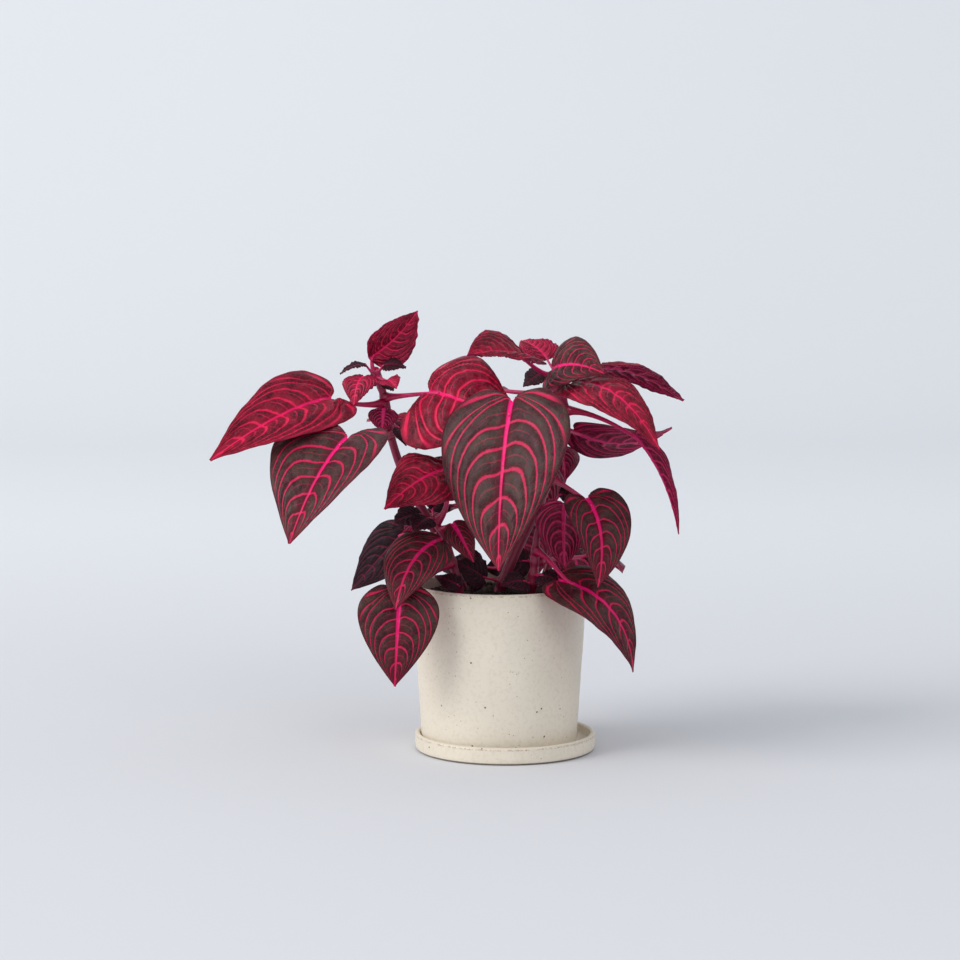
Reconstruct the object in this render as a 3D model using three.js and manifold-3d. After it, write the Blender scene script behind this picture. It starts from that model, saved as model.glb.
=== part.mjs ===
// A potted bloodleaf: speckled stoneware pot on its saucer, potting soil, seven leafy
// stems and their heart-shaped leaves. Millimetres, +Z up; the origin is the middle of
// the saucer's foot, and the side the plant turns to the room is -Y.
import * as THREE from "three";
import * as BufferGeometryUtils from "three/addons/utils/BufferGeometryUtils.js";
import Module from "manifold-3d";

const wasm = await Module();
wasm.setup();

// ---- driving dimensions of the pottery --------------------------------------------
const SAUCER_RADIUS = 57;
const SAUCER_HEIGHT = 11;
const SAUCER_WALL = 3.4;
const SAUCER_FLOOR = 4;
const SAUCER_FOOT_RADIUS = 54.5;
const POT_CENTRE_X = -3.8;
const POT_RIM_RADIUS = 55;
const POT_FOOT_RADIUS = 49;
const POT_HEIGHT = 101;
const POT_WALL = 4;
const POT_FLOOR = 6;
const POT_HOLE_RADIUS = 6;
const SOIL_TOP = 98;
const SOIL_MOUND = 2.5;
const GAP = 0.3;

// ---- driving dimensions of the leaves ---------------------------------------------
const LEAF_THICKNESS = 0.8;
const PETIOLE_RADIUS = 1.5;
const TIP_HALF_WIDTH = 0.4;
const CREST = 0.42;

// ---- the stems: radius at the soil, radius at the top, points from root to tip -----
const STEMS = {
  left_stem: [3.2, 2.0, [[-22, 8, 92], [-41, 8, 131], [-63, 6, 171], [-72, 4, 198], [-76, 2, 222], [-81, 0, 239]]],
  right_stem: [3.6, 2.2, [[-7, -2, 92], [4, -2, 120], [22, 0, 158], [35, 0, 196], [37, 0, 214], [32, 0, 240]]],
  low_left_stem: [2.6, 1.6, [[-26, -18, 92], [-33, -20, 121], [-38, -22, 137], [-46, -22, 149]]],
  low_right_stem: [2.8, 1.8, [[15, -18, 92], [18, -22, 121], [20, -22, 140], [29, -22, 160]]],
  back_stem: [3.0, 1.8, [[2, 18, 92], [-4, 30, 130], [-12, 36, 170], [-14, 38, 208]]],
  low_back_stem: [2.6, 1.6, [[20, 24, 92], [30, 36, 118], [36, 44, 142]]],
};

// ---- the leaves --------------------------------------------------------------------
// name: [stem, node height, base, tip, upper side faces, width, bow, sway, fold, curl,
//        lobe, twist, kind]
// bow lifts the middle of the midrib and sway carries it sideways, fold raises the two
// halves (degrees), curl turns their edges down again (degrees), lobe is how far the heart
// runs back past the base (as a share of the length), and twist turns the tip about the
// midrib (degrees).
const LEAVES = {
  far_left_leaf: ["left_stem", 219, [-109, -20, 223], [-178, -68, 189], [-0.1, -0.78, 0.6], 53, 16, 0, 18, 10, 0.15, 0, "red"],
  left_heart_leaf: ["left_stem", 199, [-97, -57, 201], [-129, -94, 142], [-0.56, -0.8, 0.2], 80, 12, 0, 20, 8, 0.17, 0, "mature"],
  left_inner_leaf: ["left_stem", 222, [-46, -22, 227], [12, -42, 200], [0.05, -0.86, 0.5], 76, 18, 0, 6, 18, 0.24, 0, "red"],
  top_left_leaf: ["left_stem", 238, [-85, 2, 247], [-55, 8, 276], [0.3, -0.9, -0.26], 31, 4, -3, 24, 6, 0, 0, "young"],
  pink_left_leaf: ["left_stem", 233, [-88, -6, 236], [-94, -20, 218], [-0.2, -0.6, 0.75], 24, 10, 0, 8, 16, 0.1, 0, "young"],
  small_left_leaf: ["left_stem", 235, [-74, -20, 234], [-67, -33, 230], [0.1, -0.7, 0.7], 15, 4, 0, 12, 8, 0.05, 0, "young"],
  left_wing_leaf: ["left_stem", 238.5, [-86, -2, 242], [-103, -6, 237], [0, -0.25, 1], 11, 6, 0, 12, 10, 0, 0, "tip"],
  right_wing_leaf: ["left_stem", 238.5, [-77, -3, 242], [-62, -6, 241], [0, -0.5, 0.9], 15, 4, 0, 10, 10, 0, 0, "tip"],
  hanging_left_leaf: ["left_stem", 216, [-76, -5, 215.5], [-77, -10, 202], [0, 0.9, 0.3], 19, 4, 0, 10, 10, 0.05, 0, "young"],
  upper_bud_leaf: ["left_stem", 229, [-75, -6, 231], [-70, -12, 227], [0.3, -0.7, 0.7], 10, 2, 0, 10, 10, 0, 0, "tip"],
  lower_bud_leaf: ["left_stem", 205, [-67, -4, 204], [-62, -12, 193], [0.4, -0.8, 0.4], 12, 3, 0, 10, 10, 0, 0, "tip"],
  left_back_leaf: ["left_stem", 210, [-70, 34, 208], [-58, 88, 182], [0.1, 0.55, 0.8], 44, 14, 0, 8, 16, 0.12, 0, "red"],

  front_leaf: ["right_stem", 230, [3, -58, 223], [-5, -95, 126], [-0.44, -0.83, 0.33], 86, 8, -1, 14, 12, 0.12, 0, "mature"],
  top_centre_leaf: ["right_stem", 236.5, [12, -15, 247], [-24, -50, 251], [0, -0.5, 0.87], 46, 8, 0, 20, 6, 0.1, 0, "red"],
  top_back_leaf: ["right_stem", 239, [26, 12, 246], [10, 34, 256], [0.2, -0.6, 0.75], 26, 5, 0, 12, 6, 0.06, 0, "young"],
  top_right_leaf: ["right_stem", 239, [30, -12, 241], [60, -30, 239], [0.1, -0.75, 0.65], 46, 8, 2, 14, 8, 0.15, 0, "mature"],
  top_bud_leaf: ["right_stem", 238, [24, 2, 238], [11, -2, 229], [-0.3, -0.7, 0.7], 16, 3, 0, 10, 10, 0, 0, "tip"],
  right_edge_leaf: ["right_stem", 233, [58, 8, 241], [113, 30, 218], [0.3, 0.38, 0.86], 42, 11, 0, 10, 16, 0.05, 0, "red"],
  right_red_leaf: ["right_stem", 227, [42, -14, 232], [93, -50, 194], [0.45, -0.65, 0.6], 46, 26, 0, 8, 14, 0.12, 0, "red"],
  drooping_leaf: ["right_stem", 214, [80, -20, 200], [106, -40, 141], [0.85, 0.2, 0.4], 30, 10, 0, 26, 10, 0.05, 0, "mature"],
  right_under_leaf: ["right_stem", 202, [45, 14, 199], [107, 45, 199], [0, 0.62, 0.78], 38, -18, 0, 8, 10, 0.1, 0, "mature"],
  dark_side_leaf: ["right_stem", 190, [32, 14, 192], [39, 40, 166], [0.5, 0.8, 0.3], 27, 8, 0, 10, 12, 0.1, 0, "mature"],
  right_heart_leaf: ["right_stem", 172, [50, -42, 162], [55, -72, 113], [0.35, -0.88, 0.35], 43, 10, 7, 20, 8, 0.14, 0, "mature"],
  right_back_leaf: ["right_stem", 214, [14, 44, 214], [10, 104, 184], [0, 0.5, 0.85], 48, 18, 0, 8, 16, 0.14, 0, "mature"],
  centre_back_leaf: ["right_stem", 226, [-18, 42, 226], [-36, 100, 204], [-0.1, 0.5, 0.85], 52, 18, 0, 8, 16, 0.15, 0, "red"],
  inner_right_leaf: ["right_stem", 184, [4, -20, 186], [-14, -44, 150], [-0.2, -0.85, 0.5], 40, 8, 0, 8, 16, 0.12, 0, "mature"],

  low_right_leaf: ["low_right_stem", 128, [34, -47, 113], [78, -48, 57], [0.4, -0.6, 0.7], 46, 34, 0, 10, 10, 0.14, 0, "mature"],
  hanging_right_leaf: ["low_right_stem", 158, [36, -28, 158], [36, -40, 120], [-0.3, 0.85, 0.2], 36, 4, 0, 18, 8, 0.08, 0, "mature"],
  shaded_right_leaf: ["low_right_stem", 122, [50, 6, 121], [76, 42, 106], [0.35, 0.1, 0.95], 34, 12, 0, 8, 14, 0.1, 0, "mature"],
  dark_bud_leaf: ["low_right_stem", 158, [33, -18, 163], [47, -14, 158], [0.3, -0.5, 0.8], 17, 4, 0, 12, 10, 0, 0, "tip"],

  middle_left_leaf: ["low_left_stem", 146, [-36, -30, 180], [-74, -52, 158], [-0.3, -0.8, 0.5], 48, 12, 0, 8, 14, 0.1, 0, "red"],
  lower_left_leaf: ["low_left_stem", 134, [-40, -34, 137], [-67, -64, 98], [-0.3, -0.75, 0.55], 42, 14, -8, 10, 12, 0.03, 0, "mature"],
  bottom_left_leaf: ["low_left_stem", 121, [-65, -51, 106], [-68, -60, 50], [-0.02, -0.98, 0.15], 50, 6, 0, 10, 10, 0.12, 0, "mature"],
  grey_left_leaf: ["low_left_stem", 139, [-64, 0, 138], [-98, 18, 98], [-0.3, -0.95, 0.1], 31, 2, 0, 8, 14, 0.08, 0, "tip"],
  hanging_tip_leaf: ["low_left_stem", 142, [-33, -34, 147], [-20, -42, 124], [0.2, -0.9, 0.3], 18, 4, 0, 12, 10, 0.05, 0, "mature"],
  rosette_left_leaf: ["low_left_stem", 148, [-52, -20, 151], [-70, -26, 146], [0, -0.6, 0.8], 21, 5, 0, 8, 10, 0, 0, "tip"],
  rosette_front_leaf: ["low_left_stem", 148, [-48, -30, 150], [-57, -42, 143], [0, -0.7, 0.7], 18, 4, 0, 8, 10, 0, 0, "tip"],
  rosette_right_leaf: ["low_left_stem", 148, [-46, -14, 153], [-38, -4, 158], [0.1, -0.6, 0.8], 20, 5, 0, 8, 10, 0, 0, "tip"],

  soil_left_leaf: ["low_left_stem", 108, [-29, -32, 108], [-44, -26, 113], [0, -0.6, 0.8], 15, 3, 0, 8, 14, 0.1, 0, "tip"],
  soil_right_leaf: ["low_right_stem", 108, [12, -26, 110], [-3, -34, 108], [0, -0.6, 0.8], 20, 4, 0, 8, 14, 0.1, 0, "tip"],
  soil_middle_leaf: ["right_stem", 106, [-13, -6, 109], [-32, -10, 120], [-0.2, -0.7, 0.7], 24, 4, 0, 8, 14, 0.1, 0, "tip"],
  soil_front_leaf: ["low_right_stem", 114, [22, -29, 114], [35, -38, 110], [0.2, -0.6, 0.8], 20, 3, 0, 8, 12, 0.1, 0, "tip"],

  back_top_leaf: ["back_stem", 204, [-16, 62, 204], [-26, 112, 158], [-0.1, 0.75, 0.6], 46, 14, 0, 8, 16, 0.14, 0, "red"],
  back_left_leaf: ["back_stem", 180, [-40, 52, 180], [-62, 96, 140], [-0.5, 0.6, 0.6], 50, 14, 0, 8, 16, 0.14, 0, "mature"],
  back_right_leaf: ["back_stem", 180, [10, 58, 178], [30, 104, 138], [0.3, 0.75, 0.6], 54, 14, 0, 8, 16, 0.14, 0, "mature"],
  back_low_leaf: ["back_stem", 140, [12, 56, 134], [12, 84, 84], [0.05, 0.9, 0.4], 42, 10, 0, 8, 16, 0.14, 0, "mature"],
  back_side_leaf: ["back_stem", 150, [-34, 40, 150], [-74, 60, 120], [-0.5, 0.3, 0.8], 38, 12, 0, 8, 16, 0.12, 0, "mature"],
  back_bud_leaf: ["back_stem", 112, [-16, 32, 112], [-40, 36, 108], [0, -0.75, 0.65], 26, 5, 0, 8, 12, 0.1, 0, "tip"],

  low_back_leaf: ["low_back_stem", 132, [40, 64, 130], [52, 88, 80], [0.4, 0.85, 0.35], 46, 10, 0, 8, 16, 0.14, 0, "mature"],
  low_side_leaf: ["low_back_stem", 140, [52, 40, 142], [70, 66, 124], [0.4, 0.2, 0.9], 30, 10, 0, 8, 16, 0.1, 0, "red"],
  low_bud_leaf: ["low_back_stem", 112, [14, 40, 114], [-14, 46, 107], [0, -0.75, 0.65], 26, 5, 0, 8, 12, 0.1, 0, "tip"],
};

// ---- small helpers -----------------------------------------------------------------
const vector = (list) => new THREE.Vector3(...list);
const degrees = (angle) => (angle * Math.PI) / 180;
const group = new THREE.Group();

const FINISHES = {
  stoneware: { color: 0xded5c6, roughness: 0.55, metalness: 0 },
  soil: { color: 0x2a1f1a, roughness: 0.95, metalness: 0 },
  stem: { color: 0x8e1038, roughness: 0.4, metalness: 0 },
  mature: { color: 0x43292b, roughness: 0.42, metalness: 0 },
  red: { color: 0x9c1f3a, roughness: 0.45, metalness: 0 },
  young: { color: 0xb02a45, roughness: 0.5, metalness: 0 },
  tip: { color: 0x3a2530, roughness: 0.55, metalness: 0 },
};

function addPart(name, geometry, finish) {
  const mesh = new THREE.Mesh(geometry, new THREE.MeshStandardMaterial(FINISHES[finish]));
  mesh.name = name;
  group.add(mesh);
}

function toSolid(geometry) {
  geometry.deleteAttribute("normal");
  geometry.deleteAttribute("uv");
  const merged = BufferGeometryUtils.mergeVertices(geometry, 1e-4);
  const indexed = new wasm.Mesh({
    numProp: 3,
    vertProperties: new Float32Array(merged.attributes.position.array),
    triVerts: new Uint32Array(merged.index.array),
  });
  return new wasm.Manifold(indexed);
}

function toGeometry(solid) {
  const mesh = solid.getMesh();
  const geometry = new THREE.BufferGeometry();
  geometry.setAttribute("position", new THREE.BufferAttribute(mesh.vertProperties, 3));
  geometry.setIndex(new THREE.BufferAttribute(mesh.triVerts, 1));
  geometry.computeVertexNormals();
  return geometry;
}

// A turned shape: the profile is a list of [radius, height] pairs around one closed loop.
function turned(profile, segments, centreX) {
  const points = [...profile, profile[0]].map(([radius, height]) => new THREE.Vector2(radius, height));
  const geometry = new THREE.LatheGeometry(points, segments);
  geometry.rotateX(Math.PI / 2);
  geometry.translate(centreX, 0, 0);
  return geometry;
}

// A round stalk along a curve, thinning from one radius to the other.
function stalk(curve, startRadius, endRadius, sides, rings) {
  const geometry = new THREE.CylinderGeometry(1, 1, 1, sides, rings);
  const position = geometry.attributes.position;
  const frames = curve.computeFrenetFrames(rings, false);
  for (let i = 0; i < position.count; i += 1) {
    const along = 0.5 - position.getY(i);
    const ring = Math.round(along * rings);
    const radius = startRadius + (endRadius - startRadius) * along;
    const point = curve.getPointAt(along);
    point.addScaledVector(frames.normals[ring], position.getX(i) * radius);
    point.addScaledVector(frames.binormals[ring], position.getZ(i) * radius);
    position.setXYZ(i, point.x, point.y, point.z);
  }
  return geometry;
}

// ---- stems -------------------------------------------------------------------------
const stemCurves = {};
for (const [name, [, , points]] of Object.entries(STEMS)) {
  stemCurves[name] = new THREE.CatmullRomCurve3(points.map(vector));
}

// The place on a stem's middle line at one height, with the stem's radius there.
function nodeOn(stem, height) {
  const curve = stemCurves[stem];
  const [rootRadius, topRadius] = STEMS[stem];
  let low = 0;
  let high = 1;
  for (let step = 0; step < 30; step += 1) {
    const middle = (low + high) / 2;
    if (curve.getPointAt(middle).z < height) {
      low = middle;
    } else {
      high = middle;
    }
  }
  const radius = rootRadius + (topRadius - rootRadius) * low;
  return { point: curve.getPointAt(low), tangent: curve.getTangentAt(low), radius };
}

// ---- leaves ------------------------------------------------------------------------
// Half width of the blade (largest value 1) at a share of the way from heart to tip.
function outline(share, fullness) {
  const peak = fullness / (fullness + 1);
  const highest = peak ** fullness * (1 - peak);
  return (share ** fullness * (1 - share)) / highest;
}

// The point of a blade at s across (-1 to 1) and t along (0 to 1), in its own flat plane:
// x across in half widths and y along the midrib in lengths.
function flatPoint(s, t, lobe) {
  const fullness = 0.6 - 0.9 * lobe;
  const share = 0.008 + 0.992 * t ** 0.8;
  const x = outline(share, fullness);
  const notch = 0.5 * lobe * (1 - Math.min(1, share / 0.045)) ** 2;
  const y = notch - lobe + (1 + lobe) * t ** 0.8;
  const sweep = 0.6 + 1.1 * Math.min(1, t / 0.3);
  const across = Math.abs(s);
  return [Math.sign(s) * across * x, t + (y - t) * across ** sweep];
}

function leafFrame(spec) {
  const [, , base, tip, facing, width, bow, sway, fold, curl, lobe, twist] = spec;
  const start = vector(base);
  const end = vector(tip);
  const face = vector(facing);
  const chord = end.clone().sub(start);
  face.addScaledVector(chord, -face.dot(chord) / chord.lengthSq()).normalize();
  const sideways = new THREE.Vector3().crossVectors(face, chord).normalize();
  const crest = start.clone().lerp(end, CREST);
  crest.addScaledVector(face, bow).addScaledVector(sideways, sway);
  const midrib = new THREE.QuadraticBezierCurve3(start, crest, end);
  return { midrib, face, length: chord.length(), half: width / 2, fold, curl, lobe, twist };
}

function bladePoint(frame, s, t, lift) {
  const [x, y] = flatPoint(s, t, frame.lobe);
  const place = Math.max(0, Math.min(1, y));
  const along = frame.midrib.getTangent(place);
  const up = frame.face.clone().addScaledVector(along, -frame.face.dot(along)).normalize();
  up.applyAxisAngle(along, degrees(frame.twist) * place);
  const side = new THREE.Vector3().crossVectors(up, along);
  const point = frame.midrib.getPoint(place);
  point.addScaledVector(along, (y - place) * frame.length);
  const reach = Math.sign(s) * Math.max(TIP_HALF_WIDTH * Math.abs(s), Math.abs(x) * frame.half);
  const angle = degrees(frame.fold - frame.curl * Math.abs(s));
  point.addScaledVector(side, reach * Math.cos(angle));
  point.addScaledVector(up, Math.abs(reach) * Math.sin(angle) + lift);
  return point;
}

function bladeGeometry(frame, across, along) {
  const geometry = new THREE.BoxGeometry(2, LEAF_THICKNESS, 1, across, 1, along);
  const position = geometry.attributes.position;
  for (let i = 0; i < position.count; i += 1) {
    const lift = position.getY(i);
    const t = (position.getZ(i) + 0.5) ** 1.3;
    const point = bladePoint(frame, position.getX(i), t, lift);
    position.setXYZ(i, point.x, point.y, point.z);
  }
  return geometry;
}

function petioleGeometry(frame, stem, height, radius) {
  const node = nodeOn(stem, height);
  const base = frame.midrib.getPoint(0);
  const outward = base.clone().sub(node.point);
  outward.addScaledVector(node.tangent, -outward.dot(node.tangent)).normalize();
  const start = node.point.clone().addScaledVector(outward, node.radius + 1.5 * GAP);
  const elbow = start.clone().addScaledVector(outward, base.distanceTo(start) * 0.4);
  const end = frame.midrib.getPoint(0.1);
  const curve = new THREE.CubicBezierCurve3(start, elbow, base, end);
  return stalk(curve, radius * 1.15, radius * 0.7, 6, 4);
}

for (const [name, spec] of Object.entries(LEAVES)) {
  const [stem, height] = spec;
  const frame = leafFrame(spec);
  const small = frame.half < 15;
  const blade = toSolid(small ? bladeGeometry(frame, 2, 6) : bladeGeometry(frame, 4, 8));
  const radius = small ? 0.9 : PETIOLE_RADIUS;
  const petiole = toSolid(petioleGeometry(frame, stem, height, radius));
  addPart(name, toGeometry(blade.add(petiole)), spec[12]);
}

// ---- pottery and soil --------------------------------------------------------------
const saucer = turned(
  [
    [0, 0],
    [SAUCER_FOOT_RADIUS, 0],
    [SAUCER_FOOT_RADIUS + 1.6, 0.8],
    [SAUCER_RADIUS, 3],
    [SAUCER_RADIUS, SAUCER_HEIGHT - 1],
    [SAUCER_RADIUS - 1, SAUCER_HEIGHT],
    [SAUCER_RADIUS - SAUCER_WALL + 1, SAUCER_HEIGHT],
    [SAUCER_RADIUS - SAUCER_WALL, SAUCER_HEIGHT - 1],
    [SAUCER_RADIUS - SAUCER_WALL, SAUCER_FLOOR],
    [0, SAUCER_FLOOR],
  ],
  48,
  0,
);
addPart("saucer", saucer, "stoneware");

const potBase = SAUCER_FLOOR + GAP;
const rimTop = potBase + POT_HEIGHT;
const outerAt = (height) =>
  POT_FOOT_RADIUS + ((POT_RIM_RADIUS - POT_FOOT_RADIUS) * (height - potBase)) / POT_HEIGHT;
const potFloorTop = potBase + POT_FLOOR;
const pot = turned(
  [
    [POT_HOLE_RADIUS, potBase],
    [POT_FOOT_RADIUS - 1.5, potBase],
    [POT_FOOT_RADIUS, potBase + 1.5],
    [outerAt(rimTop - 1), rimTop - 1],
    [POT_RIM_RADIUS - 1, rimTop],
    [POT_RIM_RADIUS - POT_WALL + 1, rimTop],
    [POT_RIM_RADIUS - POT_WALL, rimTop - 1],
    [outerAt(potFloorTop) - POT_WALL, potFloorTop],
    [POT_HOLE_RADIUS, potFloorTop],
  ],
  48,
  POT_CENTRE_X,
);
addPart("pot", pot, "stoneware");

const soilBottom = potFloorTop + GAP;
const soilRadius = (height) => outerAt(height) - POT_WALL - GAP - 0.3;
let soil = toSolid(
  turned(
    [
      [0, soilBottom],
      [soilRadius(soilBottom), soilBottom],
      [soilRadius(SOIL_TOP), SOIL_TOP],
      [soilRadius(SOIL_TOP) * 0.6, SOIL_TOP + SOIL_MOUND * 0.7],
      [0, SOIL_TOP + SOIL_MOUND],
    ],
    36,
    POT_CENTRE_X,
  ),
);

// each stem stands in a hole of its own in the soil, with a hair of room all round
for (const [name, [rootRadius, topRadius]] of Object.entries(STEMS)) {
  const curve = stemCurves[name];
  const room = toSolid(stalk(curve, rootRadius + GAP, topRadius + GAP, 10, 9));
  soil = soil.subtract(room);
  addPart(name, stalk(curve, rootRadius, topRadius, 10, 9), "stem");
}
addPart("potting_soil", toGeometry(soil), "soil");

export default group;
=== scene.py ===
# %% [markdown]
# # A potted bloodleaf
# A bloodleaf is a small tropical house plant grown for its leaves: heart shaped, nearly
# black green or wine red, with a hot pink midrib and pink side veins that curve towards
# the tip. This one stands in a speckled stoneware pot on its own saucer. The lesson
# builds it piece by piece around a finished CAD frame, in metres, with +Z up.

import math
import random

import bmesh
import bpy
from mathutils import Matrix, Vector, noise


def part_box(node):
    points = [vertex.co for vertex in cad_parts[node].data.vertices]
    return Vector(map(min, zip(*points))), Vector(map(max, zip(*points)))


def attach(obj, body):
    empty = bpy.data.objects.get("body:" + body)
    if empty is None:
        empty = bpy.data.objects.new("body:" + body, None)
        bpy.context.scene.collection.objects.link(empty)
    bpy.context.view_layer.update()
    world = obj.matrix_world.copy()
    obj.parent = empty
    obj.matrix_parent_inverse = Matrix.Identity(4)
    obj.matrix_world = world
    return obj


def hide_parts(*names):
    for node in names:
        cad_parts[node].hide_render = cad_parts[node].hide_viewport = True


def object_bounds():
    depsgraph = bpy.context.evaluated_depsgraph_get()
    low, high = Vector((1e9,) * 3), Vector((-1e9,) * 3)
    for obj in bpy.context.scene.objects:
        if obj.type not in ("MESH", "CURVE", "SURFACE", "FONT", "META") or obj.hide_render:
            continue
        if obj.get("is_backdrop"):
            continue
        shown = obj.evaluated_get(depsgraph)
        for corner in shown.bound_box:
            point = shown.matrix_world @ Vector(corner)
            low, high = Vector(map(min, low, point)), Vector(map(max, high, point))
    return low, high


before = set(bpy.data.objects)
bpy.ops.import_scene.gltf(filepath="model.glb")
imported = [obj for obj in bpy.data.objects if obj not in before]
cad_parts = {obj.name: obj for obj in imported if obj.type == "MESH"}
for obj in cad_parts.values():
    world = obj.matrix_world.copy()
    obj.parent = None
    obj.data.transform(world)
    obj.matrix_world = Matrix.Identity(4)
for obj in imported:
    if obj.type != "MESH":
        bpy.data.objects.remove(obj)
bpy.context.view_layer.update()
MM = 0.001

# %% [markdown]
# ## Small helpers for materials
# Every finish here is procedural: a few noise and maths nodes that read the piece's own
# coordinates. Writing nodes by hand is wordy, so short helpers wire an input, do a sum,
# mix two colours or make a soft step. A value that is the same all over a surface is
# typed on the shader itself.


# %% Material helpers
def new_material(name):
    material = bpy.data.materials.new(name)
    material.use_nodes = True
    return material, material.node_tree, material.node_tree.nodes["Principled BSDF"]


def wire(tree, value, socket):
    """Links a socket, or types a plain value, into an input."""
    if isinstance(value, bpy.types.NodeSocket):
        tree.links.new(value, socket)
    else:
        socket.default_value = value


def sums(tree, operation, *values):
    """One step of arithmetic on sockets or plain values."""
    node = tree.nodes.new("ShaderNodeMath")
    node.operation = operation
    for value, socket in zip(values, node.inputs):
        wire(tree, value, socket)
    return node.outputs[0]


def blend(tree, share, first, second):
    """A colour between two colours."""
    node = tree.nodes.new("ShaderNodeMix")
    node.data_type = "RGBA"
    node.clamp_factor = True
    wire(tree, share, node.inputs[0])
    wire(tree, first, node.inputs[6])
    wire(tree, second, node.inputs[7])
    return node.outputs[2]


def step_down(tree, value, start, end):
    """1 below start and 0 above end, with a soft slope between."""
    node = tree.nodes.new("ShaderNodeMapRange")
    node.interpolation_type = "SMOOTHSTEP"
    for entry, index in ((value, 0), (start, 1), (end, 2), (1.0, 3), (0.0, 4)):
        wire(tree, entry, node.inputs[index])
    return node.outputs[0]


def own_coordinates(tree):
    return tree.nodes.new("ShaderNodeTexCoord").outputs["Object"]


def grain(tree, where, scale, detail=3.0, roughness=0.5):
    """Soft cloudy noise from 0 to 1, with scale in waves per metre."""
    node = tree.nodes.new("ShaderNodeTexNoise")
    tree.links.new(where, node.inputs["Vector"])
    node.inputs["Scale"].default_value = scale
    node.inputs["Detail"].default_value = detail
    node.inputs["Roughness"].default_value = roughness
    return node.outputs["Fac"]


def cells(tree, where, scale, feature="F1"):
    """Distance to the nearest cell middle, or cell border, of a random cell pattern."""
    node = tree.nodes.new("ShaderNodeTexVoronoi")
    node.feature = feature
    tree.links.new(where, node.inputs["Vector"])
    node.inputs["Scale"].default_value = scale
    return node


def relief(tree, shader, height, strength, distance):
    node = tree.nodes.new("ShaderNodeBump")
    node.inputs["Strength"].default_value = strength
    node.inputs["Distance"].default_value = distance
    tree.links.new(height, node.inputs["Height"])
    tree.links.new(node.outputs["Normal"], shader.inputs["Normal"])


def colour(red, green, blue):
    """A screen colour from 0 to 255 as the light values that shaders use."""
    steps = [value / 255 for value in (red, green, blue)]
    return tuple([(v / 12.92 if v <= 0.04045 else ((v + 0.055) / 1.055) ** 2.4) for v in steps] + [1.0])


# %% [markdown]
# ## Stoneware
# The pot and saucer are cream stoneware with a satin glaze. Iron specks in the clay burn
# through as small brown dots, a few larger than the rest, and the cream turns greyer in a
# soft band just below the rims. Random cells give the specks: a cell pattern measured from
# its middles leaves one round dot per cell, and a second noise keeps only some of them.


# %% Stoneware finish
def stoneware(name, rim_height, rim_depth, line_depth, foot_height):
    material, tree, shader = new_material(name)
    where = own_coordinates(tree)
    cloud = grain(tree, where, 28.0, 4.0)
    base = blend(tree, cloud, colour(216, 206, 188), colour(232, 223, 207))
    mottle = step_down(tree, grain(tree, where, 420.0, 3.0, 0.7), 0.36, 0.52)
    base = blend(tree, sums(tree, "MULTIPLY", mottle, 0.2), base, colour(190, 176, 154))
    for scale, size, kept, tone in (
        (150.0, 0.115, 0.42, colour(92, 66, 46)),
        (300.0, 0.12, 0.46, colour(146, 118, 88)),
        (62.0, 0.07, 0.45, colour(44, 32, 26)),
    ):
        dots = cells(tree, where, scale)
        inside = step_down(tree, dots.outputs["Distance"], size * 0.55, size)
        rare = step_down(tree, grain(tree, where, scale * 0.45, 0.0), kept - 0.06, kept)
        base = blend(tree, sums(tree, "MULTIPLY", inside, rare), base, tone)
    height = tree.nodes.new("ShaderNodeSeparateXYZ")
    tree.links.new(where, height.inputs[0])
    below = sums(tree, "SUBTRACT", rim_height, height.outputs["Z"])
    # a soft band just below the rim is made greyer and darker
    near_rim = step_down(tree, below, 0.0, rim_depth)
    under_rim_grey = sums(tree, "MULTIPLY", near_rim, sums(tree, "MULTIPLY", cloud, 0.5))
    base = blend(tree, under_rim_grey, base, colour(176, 164, 146))
    # iron bleeds through in a broken brown line where the glaze runs thin below the rim
    line = sums(tree, "ABSOLUTE", sums(tree, "SUBTRACT", below, line_depth))
    ragged = step_down(tree, grain(tree, where, 520.0, 3.0, 0.7), 0.42, 0.56)
    broken = sums(tree, "MULTIPLY", step_down(tree, line, 0.0002, 0.0007), ragged)
    base = blend(tree, sums(tree, "MULTIPLY", broken, 0.5), base, colour(140, 112, 84))
    # and a painted contact shade: a dark band at the very bottom, where the piece meets the saucer or the floor
    foot_contact_shade = step_down(tree, height.outputs["Z"], foot_height, foot_height + 0.0006)
    base = blend(tree, sums(tree, "MULTIPLY", foot_contact_shade, 0.8), base, colour(96, 78, 62))
    tree.links.new(base, shader.inputs["Base Color"])
    shader.inputs["Roughness"].default_value = 0.46
    shader.inputs["Specular IOR Level"].default_value = 0.45
    relief(tree, shader, grain(tree, where, 260.0, 4.0), 0.25, 0.0004)
    return material


pot_low, pot_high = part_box("pot")
saucer_low, saucer_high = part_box("saucer")
pot_glaze = stoneware("pot cream stoneware", pot_high.z, 0.012, 0.0012, pot_low.z + 0.0006)
saucer_glaze = stoneware("saucer cream stoneware", saucer_high.z, 0.003, 0.0014, 0.0009)
print("glazes ready:", pot_glaze.name, "and", saucer_glaze.name)

# %% [markdown]
# ## Throwing the pot and the saucer
# Pottery is turned on a wheel, and spin does the same: a profile of half the wall is
# drawn as a chain of points and spun once round the axis. The doubled seam is merged and
# the faces are made to point outwards. Rims and foot are rounded with short arcs in the
# profile, and the potter's hand shows as a very slight unevenness added afterwards.


# %% Turning helpers
def arc(middle, radius, start, end, steps):
    """Points round a corner, angles in degrees from outwards towards up."""
    points = []
    for step in range(steps + 1):
        angle = math.radians(start + (end - start) * step / steps)
        points.append((middle[0] + radius * math.cos(angle), middle[1] + radius * math.sin(angle)))
    return points


def finer(profile, longest):
    """The same profile with long straight runs cut into short ones."""
    points = []
    for here, there in zip(profile, profile[1:] + profile[:1]):
        count = max(1, math.ceil(math.dist(here, there) / longest))
        for step in range(count):
            share = step / count
            points.append(tuple(a + (b - a) * share for a, b in zip(here, there)))
    return points


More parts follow.
